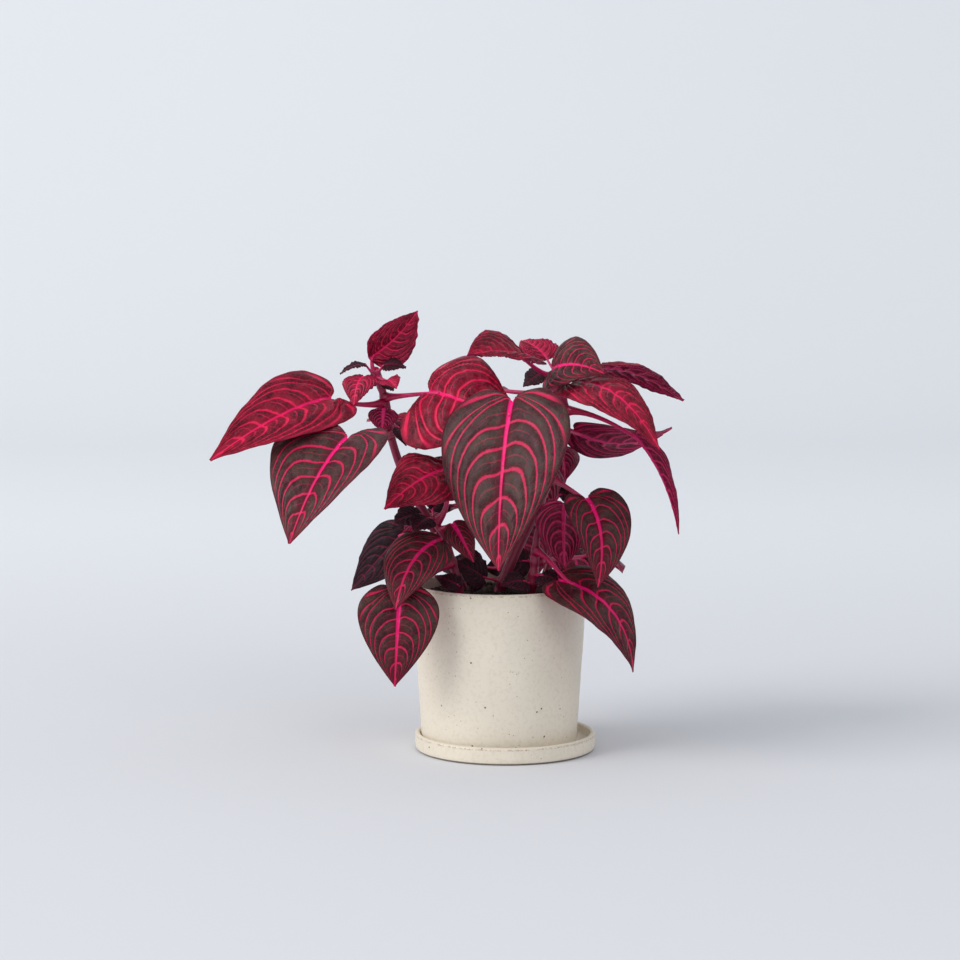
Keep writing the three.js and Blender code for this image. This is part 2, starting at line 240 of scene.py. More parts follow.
def turn(name, profile, axis_x, segments, closed):
    """Spins a profile of (radius, height) pairs round an upright axis."""
    bm = bmesh.new()
    chain = [bm.verts.new((axis_x + radius, 0.0, height)) for radius, height in profile]
    for here, there in zip(chain, chain[1:]):
        bm.edges.new((here, there))
    if closed:
        bm.edges.new((chain[-1], chain[0]))
    bmesh.ops.spin(
        bm,
        geom=bm.verts[:] + bm.edges[:],
        cent=(axis_x, 0.0, 0.0),
        axis=(0.0, 0.0, 1.0),
        angle=2 * math.pi,
        steps=segments,
        use_merge=True,
    )
    bmesh.ops.remove_doubles(bm, verts=bm.verts[:], dist=1e-6)
    bmesh.ops.recalc_face_normals(bm, faces=bm.faces[:])
    return finish_mesh(name, bm)


def finish_mesh(name, bm):
    for face in bm.faces:
        face.smooth = True
    mesh = bpy.data.meshes.new(name)
    bm.to_mesh(mesh)
    bm.free()
    piece = bpy.data.objects.new(name, mesh)
    bpy.context.scene.collection.objects.link(piece)
    return piece


def place(piece, slot, *nodes):
    """The piece goes with the pot's only body and stands for these frame nodes."""
    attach(piece, "root")
    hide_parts(*nodes)


# %% The pot
POT_WALL = 4.0 * MM
POT_FLOOR = 6.0 * MM
DRAIN_RADIUS = 6.0 * MM
RIM_ROUND = 1.9 * MM
FOOT_ROUND = 2.2 * MM

pot_axis = (pot_low.x + pot_high.x) / 2
rim_radius = (pot_high.x - pot_low.x) / 2
foot_radius = rim_radius - 6.0 * MM
pot_rise = pot_high.z - pot_low.z


def pot_outside(height):
    return foot_radius + (rim_radius - foot_radius) * (height - pot_low.z) / pot_rise


pot_profile = [(DRAIN_RADIUS, pot_low.z + 0.4 * MM)]
pot_profile += arc((foot_radius - FOOT_ROUND, pot_low.z + FOOT_ROUND), FOOT_ROUND, -90, 0, 5)
pot_profile += arc((rim_radius - RIM_ROUND, pot_high.z - RIM_ROUND), RIM_ROUND, 0, 90, 6)
pot_profile += arc((rim_radius - POT_WALL + RIM_ROUND, pot_high.z - RIM_ROUND), RIM_ROUND, 90, 180, 6)
floor_top = pot_low.z + POT_FLOOR
inside_foot = pot_outside(floor_top) - POT_WALL
pot_profile += arc((inside_foot - 3 * MM, floor_top + 3 * MM), 3 * MM, 0, -90, 5)
pot_profile += [(DRAIN_RADIUS, floor_top)]
pot = turn("pot_body", finer(pot_profile, 3.0 * MM), pot_axis, 128, True)


def uneven(piece, axis_x, amount):
    """Moves a turned wall in and out a little, as a hand does on the wheel."""
    for vertex in piece.data.vertices:
        around = Vector((vertex.co.x - axis_x, vertex.co.y, 0.0))
        if around.length > 0.02:
            slow = noise.noise(Vector((around.x, around.y, vertex.co.z * 2.2)) * 28.0)
            ring = math.sin(vertex.co.z * 900.0 + 2.0 * slow)
            vertex.co += around.normalized() * amount * (slow + 0.25 * ring)


uneven(pot, pot_axis, 0.22 * MM)
pot.data.materials.append(pot_glaze)
place(pot, "pot_stoneware", "pot")
print("pot:", len(pot.data.polygons), "faces, rim", round(rim_radius * 2000), "mm across")

# %% The saucer
SAUCER_WALL = 3.4 * MM
SAUCER_FLOOR = 4.0 * MM
saucer_radius = (saucer_high.x - saucer_low.x) / 2
lip = SAUCER_WALL / 2
top = saucer_high.z
saucer_profile = [(0.0, 0.0), (saucer_radius - 4.2 * MM, 0.0)]
saucer_profile += arc((saucer_radius - 2.6 * MM, 2.2 * MM), 2.2 * MM, -60, 0, 4)
saucer_profile += [(saucer_radius, 4.5 * MM), (saucer_radius - 0.3 * MM, 7.2 * MM)]
saucer_profile += arc((saucer_radius - lip, top - lip), lip, 0, 180, 10)
saucer_profile += arc((saucer_radius - SAUCER_WALL - 2 * MM, SAUCER_FLOOR + 2 * MM), 2 * MM, 0, -90, 4)
saucer_profile += [(0.0, SAUCER_FLOOR)]
saucer = turn("saucer_dish", finer(saucer_profile, 4.0 * MM), 0.0, 128, False)
uneven(saucer, 0.0, 0.12 * MM)
saucer.data.materials.append(saucer_glaze)
place(saucer, "saucer_stoneware", "saucer")
print("saucer:", len(saucer.data.polygons), "faces")

# %% [markdown]
# ## Potting soil
# The pot is filled with dark, loose potting mix: bark, peat and crumbs. A turned body
# gives the fill, its top is broken up by layered noise, and some two hundred loose crumbs
# of a few faces each lie on it. They start as rough icospheres, squashed and turned at
# random with a fixed seed, so each run strews them the same way.


# %% Soil finish
def soil_finish():
    material, tree, shader = new_material("dark potting mix")
    where = own_coordinates(tree)
    coarse = grain(tree, where, 260.0, 6.0, 0.75)
    tone = blend(tree, coarse, colour(14, 10, 10), colour(62, 46, 38))
    fibre = step_down(tree, grain(tree, where, 900.0, 2.0), 0.3, 0.38)
    tone = blend(tree, sums(tree, "MULTIPLY", fibre, 0.5), tone, colour(112, 84, 62))
    tree.links.new(tone, shader.inputs["Base Color"])
    shader.inputs["Roughness"].default_value = 0.92
    relief(tree, shader, coarse, 0.9, 0.0015)
    return material


# %% The soil
SOIL_EDGE = 98.0 * MM
SOIL_MOUND = 2.5 * MM
ROOM = 0.6 * MM
soil_low, soil_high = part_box("potting_soil")
edge_radius = pot_outside(SOIL_EDGE) - POT_WALL - ROOM
base_radius = pot_outside(soil_low.z) - POT_WALL - ROOM
soil_profile = [(0.0, soil_low.z), (base_radius - 3 * MM, soil_low.z), (base_radius, soil_low.z + 3 * MM)]
soil_profile += [(edge_radius, SOIL_EDGE)]
for share in (0.97, 0.93, *[0.05 * step for step in range(17, 0, -1)], 0.0):
    rise = SOIL_MOUND * (1 - share**2)
    soil_profile.append((edge_radius * share, SOIL_EDGE + rise))
soil = turn("soil_fill", soil_profile, pot_axis, 96, False)
for vertex in soil.data.vertices:
    if vertex.co.z > SOIL_EDGE - 0.1 * MM:
        lumps = noise.fractal(vertex.co * 160.0, 0.8, 2.2, 4)
        vertex.co.z += 1.3 * MM * lumps
random.seed(11)
crumbs = bmesh.new()
for number in range(230):
    angle = random.uniform(0, 2 * math.pi)
    reach = (edge_radius - 3 * MM) * math.sqrt(random.random())
    size = random.uniform(0.7, 2.3) * MM
    level = SOIL_EDGE + SOIL_MOUND * (1 - (reach / edge_radius) ** 2) + size * 0.1
    spot = Matrix.Translation((pot_axis + reach * math.cos(angle), reach * math.sin(angle), level))
    spin = Matrix.Rotation(random.uniform(0, 6), 4, Vector([random.uniform(-1, 1) for _ in range(3)]))
    squash = Matrix.Diagonal((size * random.uniform(1, 2.2), size, size * random.uniform(0.5, 0.9), 1.0))
    bmesh.ops.create_icosphere(crumbs, subdivisions=1, radius=1.0, matrix=spot @ spin @ squash)
for vertex in crumbs.verts:
    vertex.co += 0.25 * MM * noise.noise_vector(vertex.co * 900.0)
crumb_piece = finish_mesh("soil_crumbs", crumbs)
for piece in (soil, crumb_piece):
    piece.data.materials.append(soil_finish() if piece is soil else soil.data.materials[0])
    place(piece, "soil", "potting_soil")
print("soil top", round(SOIL_EDGE * 1000), "mm up, crumbs:", len(crumb_piece.data.polygons) // 20)

# %% [markdown]
# ## How the plant grows
# Six stems rise from the soil. A centripetal Catmull-Rom curve through a few points gives
# each its gentle bends, and is measured into short equal steps so that any place on it
# can be found by height. The table holds, for each stem, its radius at the soil, its
# radius at the top and the points it grows through, in millimetres.

# %% The stems
STEMS = {
    "left_stem": (
        3.2, 2.0,
        ((-22, 8, 92), (-41, 8, 131), (-63, 6, 171), (-72, 4, 198), (-76, 2, 222), (-81, 0, 239)),
    ),
    "right_stem": (
        3.6, 2.2,
        ((-7, -2, 92), (4, -2, 120), (22, 0, 158), (35, 0, 196), (37, 0, 214), (32, 0, 240)),
    ),
    "low_left_stem": (2.6, 1.6, ((-26, -18, 92), (-33, -20, 121), (-38, -22, 137), (-46, -22, 149))),
    "low_right_stem": (2.8, 1.8, ((15, -18, 92), (18, -22, 121), (20, -22, 140), (29, -22, 160))),
    "back_stem": (3.0, 1.8, ((2, 18, 92), (-4, 30, 130), (-12, 36, 170), (-14, 38, 208))),
    "low_back_stem": (2.6, 1.6, ((20, 24, 92), (30, 36, 118), (36, 44, 142))),
}


def stem_line(points, per_span=24):
    """Points along a smooth curve through the given ones, close together."""
    knots = [Vector(point) for point in points]
    knots = [2 * knots[0] - knots[1], *knots, 2 * knots[-1] - knots[-2]]
    line = []
    for before, here, there, after in zip(knots, knots[1:], knots[2:], knots[3:]):
        gaps = [math.sqrt((b - a).length) for a, b in ((before, here), (here, there), (there, after))]
        leave = (here - before) / gaps[0] - (there - before) / (gaps[0] + gaps[1]) + (there - here) / gaps[1]
        arrive = (there - here) / gaps[1] - (after - here) / (gaps[1] + gaps[2]) + (after - there) / gaps[2]
        leave, arrive = leave * gaps[1], arrive * gaps[1]
        for step in range(per_span):
            u = step / per_span
            bend = -3 * here + 3 * there - 2 * leave - arrive
            turn_in = 2 * here - 2 * there + leave + arrive
            line.append(here + leave * u + bend * u**2 + turn_in * u**3)
    line.append(knots[-2])
    return [point * MM for point in line]


stem_lines = {name: stem_line(points) for name, (_, _, points) in STEMS.items()}


def node_on(stem, height):
    """Place, direction and radius of a stem where it reaches a height in millimetres."""
    line = stem_lines[stem]
    root, end, _ = STEMS[stem]
    whole = sum((b - a).length for a, b in zip(line, line[1:]))
    gone = 0.0
    for here, there in zip(line, line[1:]):
        if there.z >= height * MM or there is line[-1]:
            share = min(1.0, (height * MM - here.z) / max(1e-9, there.z - here.z))
            gone += share * (there - here).length
            radius = root + (end - root) * gone / whole
            return here.lerp(there, share), (there - here).normalized(), radius * MM
        gone += (there - here).length


print("stems:", ", ".join(f"{name} {line[-1].z * 1000:.0f} mm high" for name, line in stem_lines.items()))

# %% [markdown]
# ## The leaf table
# A row says where one leaf grows: its stem and the height of the node, where the blade
# starts and where its tip hangs, the way its upper side faces, its width, how far the
# middle bows up (bow) and sideways (sway), how much the halves fold up (fold) and their
# edges curl down (curl), how far the heart runs back past the stalk (lobe), and what
# kind of leaf it is. Old leaves are nearly black, younger ones redder, and the shoot
# tips end in tiny dark ones.

# %% The leaves
LEAVES = {
    "far_left_leaf": (
        "left_stem", 219, (-109, -20, 223), (-178, -68, 189), (-0.1, -0.78, 0.6),
        53, 16, 0, 18, 10, 0.15, "red",
    ),
    "left_heart_leaf": (
        "left_stem", 199, (-97, -57, 201), (-129, -94, 142), (-0.56, -0.8, 0.2),
        80, 12, 0, 20, 8, 0.17, "mature",
    ),
    "left_inner_leaf": (
        "left_stem", 222, (-46, -22, 227), (12, -42, 200), (0.05, -0.86, 0.5),
        76, 18, 0, 6, 18, 0.24, "red",
    ),
    "top_left_leaf": (
        "left_stem", 238, (-85, 2, 247), (-55, 8, 276), (0.3, -0.9, -0.26),
        31, 4, -3, 24, 6, 0, "young",
    ),
    "pink_left_leaf": (
        "left_stem", 233, (-88, -6, 236), (-94, -20, 218), (-0.2, -0.6, 0.75),
        24, 10, 0, 8, 16, 0.1, "young",
    ),
    "small_left_leaf": (
        "left_stem", 235, (-74, -20, 234), (-67, -33, 230), (0.1, -0.7, 0.7),
        15, 4, 0, 12, 8, 0.05, "young",
    ),
    "left_wing_leaf": (
        "left_stem", 238.5, (-86, -2, 242), (-103, -6, 237), (0, -0.25, 1),
        11, 6, 0, 12, 10, 0, "tip",
    ),
    "right_wing_leaf": (
        "left_stem", 238.5, (-77, -3, 242), (-62, -6, 241), (0, -0.5, 0.9),
        15, 4, 0, 10, 10, 0, "tip",
    ),
    "hanging_left_leaf": (
        "left_stem", 216, (-76, -5, 215.5), (-77, -10, 202), (0, 0.9, 0.3),
        19, 4, 0, 10, 10, 0.05, "young",
    ),
    "upper_bud_leaf": (
        "left_stem", 229, (-75, -6, 231), (-70, -12, 227), (0.3, -0.7, 0.7),
        10, 2, 0, 10, 10, 0, "tip",
    ),
    "lower_bud_leaf": (
        "left_stem", 205, (-67, -4, 204), (-62, -12, 193), (0.4, -0.8, 0.4),
        12, 3, 0, 10, 10, 0, "tip",
    ),
    "left_back_leaf": (
        "left_stem", 210, (-70, 34, 208), (-58, 88, 182), (0.1, 0.55, 0.8),
        44, 14, 0, 8, 16, 0.12, "red",
    ),

    "front_leaf": (
        "right_stem", 230, (3, -58, 223), (-5, -95, 126), (-0.44, -0.83, 0.33),
        86, 8, -1, 14, 12, 0.12, "mature",
    ),
    "top_centre_leaf": (
        "right_stem", 236.5, (12, -15, 247), (-24, -50, 251), (0, -0.5, 0.87),
        46, 8, 0, 20, 6, 0.1, "red",
    ),
    "top_back_leaf": (
        "right_stem", 239, (26, 12, 246), (10, 34, 256), (0.2, -0.6, 0.75),
        26, 5, 0, 12, 6, 0.06, "young",
    ),
    "top_right_leaf": (
        "right_stem", 239, (30, -12, 241), (60, -30, 239), (0.1, -0.75, 0.65),
        46, 8, 2, 14, 8, 0.15, "mature",
    ),
    "top_bud_leaf": (
        "right_stem", 238, (24, 2, 238), (11, -2, 229), (-0.3, -0.7, 0.7),
        16, 3, 0, 10, 10, 0, "tip",
    ),
    "right_edge_leaf": (
        "right_stem", 233, (58, 8, 241), (113, 30, 218), (0.3, 0.38, 0.86),
        42, 11, 0, 10, 16, 0.05, "red",
    ),
    "right_red_leaf": (
        "right_stem", 227, (42, -14, 232), (93, -50, 194), (0.45, -0.65, 0.6),
        46, 26, 0, 8, 14, 0.12, "red",
    ),
    "drooping_leaf": (
        "right_stem", 214, (80, -20, 200), (106, -40, 141), (0.85, 0.2, 0.4),
        30, 10, 0, 26, 10, 0.05, "mature",
    ),
    "right_under_leaf": (
        "right_stem", 202, (45, 14, 199), (107, 45, 199), (0, 0.62, 0.78),
        38, -18, 0, 8, 10, 0.1, "mature",
    ),
    "dark_side_leaf": (
        "right_stem", 190, (32, 14, 192), (39, 40, 166), (0.5, 0.8, 0.3),
        27, 8, 0, 10, 12, 0.1, "mature",
    ),
    "right_heart_leaf": (
        "right_stem", 172, (50, -42, 162), (55, -72, 113), (0.35, -0.88, 0.35),
        43, 10, 7, 20, 8, 0.14, "mature",
    ),
    "right_back_leaf": (
        "right_stem", 214, (14, 44, 214), (10, 104, 184), (0, 0.5, 0.85),
        48, 18, 0, 8, 16, 0.14, "mature",
    ),
    "centre_back_leaf": (
        "right_stem", 226, (-18, 42, 226), (-36, 100, 204), (-0.1, 0.5, 0.85),
        52, 18, 0, 8, 16, 0.15, "red",
    ),
    "inner_right_leaf": (
        "right_stem", 184, (4, -20, 186), (-14, -44, 150), (-0.2, -0.85, 0.5),
        40, 8, 0, 8, 16, 0.12, "mature",
    ),

    "low_right_leaf": (
        "low_right_stem", 128, (34, -47, 113), (78, -48, 57), (0.4, -0.6, 0.7),
        46, 34, 0, 10, 10, 0.14, "mature",
    ),
    "hanging_right_leaf": (
        "low_right_stem", 158, (36, -28, 158), (36, -40, 120), (-0.3, 0.85, 0.2),
        36, 4, 0, 18, 8, 0.08, "mature",
    ),
    "shaded_right_leaf": (
        "low_right_stem", 122, (50, 6, 121), (76, 42, 106), (0.35, 0.1, 0.95),
        34, 12, 0, 8, 14, 0.1, "mature",
    ),
    "dark_bud_leaf": (
        "low_right_stem", 158, (33, -18, 163), (47, -14, 158), (0.3, -0.5, 0.8),
        17, 4, 0, 12, 10, 0, "tip",
    ),

    "middle_left_leaf": (
        "low_left_stem", 146, (-36, -30, 180), (-74, -52, 158), (-0.3, -0.8, 0.5),
        48, 12, 0, 8, 14, 0.1, "red",
    ),
    "lower_left_leaf": (
        "low_left_stem", 134, (-40, -34, 137), (-67, -64, 98), (-0.3, -0.75, 0.55),
        42, 14, -8, 10, 12, 0.03, "mature",
    ),
    "bottom_left_leaf": (
        "low_left_stem", 121, (-65, -51, 106), (-68, -60, 50), (-0.02, -0.98, 0.15),
        50, 6, 0, 10, 10, 0.12, "mature",
    ),
    "grey_left_leaf": (
        "low_left_stem", 139, (-64, 0, 138), (-98, 18, 98), (-0.3, -0.95, 0.1),
        31, 2, 0, 8, 14, 0.08, "tip",
    ),
    "hanging_tip_leaf": (
        "low_left_stem", 142, (-33, -34, 147), (-20, -42, 124), (0.2, -0.9, 0.3),
        18, 4, 0, 12, 10, 0.05, "mature",
    ),
    "rosette_left_leaf": (
        "low_left_stem", 148, (-52, -20, 151), (-70, -26, 146), (0, -0.6, 0.8),
        21, 5, 0, 8, 10, 0, "tip",
    ),
    "rosette_front_leaf": (
        "low_left_stem", 148, (-48, -30, 150), (-57, -42, 143), (0, -0.7, 0.7),
        18, 4, 0, 8, 10, 0, "tip",
    ),
    "rosette_right_leaf": (
        "low_left_stem", 148, (-46, -14, 153), (-38, -4, 158), (0.1, -0.6, 0.8),
        20, 5, 0, 8, 10, 0, "tip",
    ),

    "soil_left_leaf": (
        "low_left_stem", 108, (-29, -32, 108), (-44, -26, 113), (0, -0.6, 0.8),
        15, 3, 0, 8, 14, 0.1, "tip",
    ),
    "soil_right_leaf": (
        "low_right_stem", 108, (12, -26, 110), (-3, -34, 108), (0, -0.6, 0.8),
        20, 4, 0, 8, 14, 0.1, "tip",
    ),
    "soil_middle_leaf": (
        "right_stem", 106, (-13, -6, 109), (-32, -10, 120), (-0.2, -0.7, 0.7),
        24, 4, 0, 8, 14, 0.1, "tip",
    ),
    "soil_front_leaf": (
        "low_right_stem", 114, (22, -29, 114), (35, -38, 110), (0.2, -0.6, 0.8),
        20, 3, 0, 8, 12, 0.1, "tip",
    ),

    "back_top_leaf": (
        "back_stem", 204, (-16, 62, 204), (-26, 112, 158), (-0.1, 0.75, 0.6),
        46, 14, 0, 8, 16, 0.14, "red",
    ),
    "back_left_leaf": (
        "back_stem", 180, (-40, 52, 180), (-62, 96, 140), (-0.5, 0.6, 0.6),
        50, 14, 0, 8, 16, 0.14, "mature",
    ),
    "back_right_leaf": (
        "back_stem", 180, (10, 58, 178), (30, 104, 138), (0.3, 0.75, 0.6),
        54, 14, 0, 8, 16, 0.14, "mature",
    ),
    "back_low_leaf": (
        "back_stem", 140, (12, 56, 134), (12, 84, 84), (0.05, 0.9, 0.4),
        42, 10, 0, 8, 16, 0.14, "mature",
    ),
    "back_side_leaf": (
        "back_stem", 150, (-34, 40, 150), (-74, 60, 120), (-0.5, 0.3, 0.8),
        38, 12, 0, 8, 16, 0.12, "mature",
    ),
    "back_bud_leaf": (
        "back_stem", 112, (-16, 32, 112), (-40, 36, 108), (0, -0.75, 0.65),
        26, 5, 0, 8, 12, 0.1, "tip",
    ),

    "low_back_leaf": (
        "low_back_stem", 132, (40, 64, 130), (52, 88, 80), (0.4, 0.85, 0.35),
        46, 10, 0, 8, 16, 0.14, "mature",
    ),
    "low_side_leaf": (
        "low_back_stem", 140, (52, 40, 142), (70, 66, 124), (0.4, 0.2, 0.9),
        30, 10, 0, 8, 16, 0.1, "red",
    ),
    "low_bud_leaf": (
        "low_back_stem", 112, (14, 40, 114), (-14, 46, 107), (0, -0.75, 0.65),
        26, 5, 0, 8, 12, 0.1, "tip",
    ),
}

TIP_HALF_WIDTH = 0.4 * MM
CREST = 0.42
BLADE_THICKNESS = 0.42 * MM


def growth(row):
    """The midrib and shape of one leaf, in metres."""
    _, _, base, tip, facing, width, bow, sway, fold, curl, lobe, _ = row
    start, end, face = Vector(base) * MM, Vector(tip) * MM, Vector(facing)
    chord = end - start
    face = (face - chord * (face.dot(chord) / chord.length_squared)).normalized()
    sideways = face.cross(chord).normalized()
    crest = start.lerp(end, CREST) + face * bow * MM + sideways * sway * MM
    return {
        "points": (start, crest, end),
        "face": face,
        "length": chord.length,
        "half": width * MM / 2,
        "fold": fold,
        "curl": curl,
        "lobe": lobe,
    }


def midrib(leaf, place):
    """Place and direction on the midrib, from 0 at the stalk to 1 at the tip."""
    start, crest, end = leaf["points"]
    point = start * (1 - place) ** 2 + crest * 2 * place * (1 - place) + end * place**2
    along = ((crest - start) * (1 - place) + (end - crest) * place).normalized()
    return point, along


# %% [markdown]
# ## The outline of a heart
# A leaf is drawn on a square sheet first: s runs across it from -1 to 1 and t along it
# from 0 at the stalk to 1 at the tip. The outline swells quickly and thins slowly to a
# drawn-out tip, and the rows of the sheet sweep back at the edges, which makes the two
# rounded lobes of the heart with a notch between them.


# %% The outline
def flat_point(s, t, lobe):
    """Half width (share of the widest) and distance along (share of the length)."""
    fullness = 0.6 - 0.9 * lobe
    peak = fullness / (fullness + 1)
    share = 0.008 + 0.992 * t**0.8
    width = share**fullness * (1 - share) / (peak**fullness * (1 - peak))
    notch = 0.5 * lobe * (1 - min(1.0, share / 0.045)) ** 2
    edge = notch - lobe + (1 + lobe) * t**0.8
    sweep = 0.6 + 1.1 * min(1.0, t / 0.3)
    return s * width, t + (edge - t) * abs(s) ** sweep


def blade_point(leaf, s, t, lift):
    """The place of a sheet point in the air, and the way its upper side looks."""
    x, y = flat_point(s, t, leaf["lobe"])
    place = max(0.0, min(1.0, y))
    point, along = midrib(leaf, place)
    up = (leaf["face"] - along * leaf["face"].dot(along)).normalized()
    side = up.cross(along)
    reach = math.copysign(max(TIP_HALF_WIDTH * abs(s), abs(x) * leaf["half"]), s)
    angle = math.radians(leaf["fold"] - leaf["curl"] * abs(s))
    point = point + along * (y - place) * leaf["length"] + side * reach * math.cos(angle)
    return point + up * (abs(reach) * math.sin(angle) + lift), reach


# %% [markdown]
# ## Veins
# Bloodleaf side veins leave the midrib nearly square and arch towards the tip, while the
# lowest ones fan back into the lobes. One number per point tells them all: it counts
# veins, whole on a vein and a half between two. It is stored on the mesh, so the colour
# of the veins and the quilting of the blade between them always agree. A little noise
# keeps the two halves of a leaf from being mirror images.

# %% Counting veins
VEIN_SPACING = 0.155
VEIN_REACH = 0.62
VEIN_ARCH = 2.8
FAN_VEINS = 2.3


def vein_count(s, t, seed):
    across = abs(s)
    shift = 0.036 * math.copysign(min(1.0, across * 6), s)
    wander = 0.026 * noise.noise(Vector((s * 2.4, t * 5.5, seed * 7.3)))
    start = max(0.0, t + shift * (1 - t) * min(1.0, t * 6) + wander * min(1.0, across * 5))
    reach = VEIN_REACH * (1 + 0.12 * noise.noise(Vector((seed * 3.1, s, 4.0))))
    drop = max(1e-5, reach * across**VEIN_ARCH)
    if start >= drop:
        return (start - drop) / VEIN_SPACING
    return (start / drop - 1) * FAN_VEINS


def from_vein(count):
    """0 on a vein, 0.5 midway between two."""
    return abs(count - round(count))


# %% [markdown]
# ## Stalks and stems as tubes
# A stalk is one ring of points, extruded step by step along its line. Each step turns and
# scales the new ring to the next place, the open ends are filled, and every point
# remembers how far along it lies.


# %% Tubes
def tube(bm, line, radii, sides, squash=1.0):
    """A closed round stalk along a line of points; returns its faces."""
    turns = []
    up = Vector((0.0, 0.0, 1.0)) if abs((line[1] - line[0]).normalized().z) < 0.9 else Vector((1, 0, 0))
    for number, point in enumerate(line):
        ahead = (line[min(number + 1, len(line) - 1)] - line[max(number - 1, 0)]).normalized()
        side = up.cross(ahead).normalized()
        up = ahead.cross(side)
        spin = Matrix((side, up, ahead)).transposed().to_quaternion()
        size = Vector((radii[number], radii[number] * squash, radii[number]))
        turns.append(Matrix.LocRotScale(point, spin, size))
    before = set(bm.faces)
    ring = bmesh.ops.create_circle(bm, segments=sides, radius=1.0, matrix=turns[0])["verts"]
    edges = list({edge for vertex in ring for edge in vertex.link_edges})
    first, growing = edges, bm.verts.layers.float_vector["leaf"]
    for number in range(1, len(line)):
        made = bmesh.ops.extrude_edge_only(bm, edges=edges)["geom"]
        ring = [item for item in made if isinstance(item, bmesh.types.BMVert)]
        edges = [item for item in made if isinstance(item, bmesh.types.BMEdge)]
        step = turns[number] @ turns[number - 1].inverted()
        bmesh.ops.transform(bm, matrix=step, verts=ring)
        for vertex in ring:
            vertex[growing] = Vector((0.0, number / (len(line) - 1), 0.0))
    bmesh.ops.edgeloop_fill(bm, edges=first)
    bmesh.ops.edgeloop_fill(bm, edges=edges)
    faces = [face for face in bm.faces if face not in before]
    bmesh.ops.recalc_face_normals(bm, faces=faces)
    return faces


# %% [markdown]
# ## Leaf colours
# The finish mixes layers from the bottom up: a mottled blade, a wine red glow on both
# sides of each vein, the thin side veins, the hot pink midrib and a fine net of the
# smallest veins. Widths are shares of the vein spacing, except the midrib, which reads
# the true distance from it in metres. The underside is a glossier wine red.


# %% Leaf finish
# How much each layer covers the one under it, from none at 0 to all at 1.
MOTTLE_COVER = 0.22
NET_COVER = 0.45
GLOW_COVER = 0.8
RIB_GLOW_COVER = 0.75
VEIN_COVER = 0.92
EDGE_COVER = 0.45
# Where a line starts to fade and where it is gone, in half widths.
VEIN_FADE = (0.45, 1.25)
RIB_FADE = (0.55, 1.25)
RIB_GLOW_FADE = (0.5, 4.2)
RAGGEDNESS = 0.10
OUTWARD_WIDENING = 0.9
RIB_TAPER = 0.78
LEAF_SHEEN = 0.2


def soft_line(tree, distance, half_width, fade):
    start = sums(tree, "MULTIPLY", half_width, fade[0])
    end = sums(tree, "MULTIPLY", half_width, fade[1])
    return step_down(tree, distance, start, end)


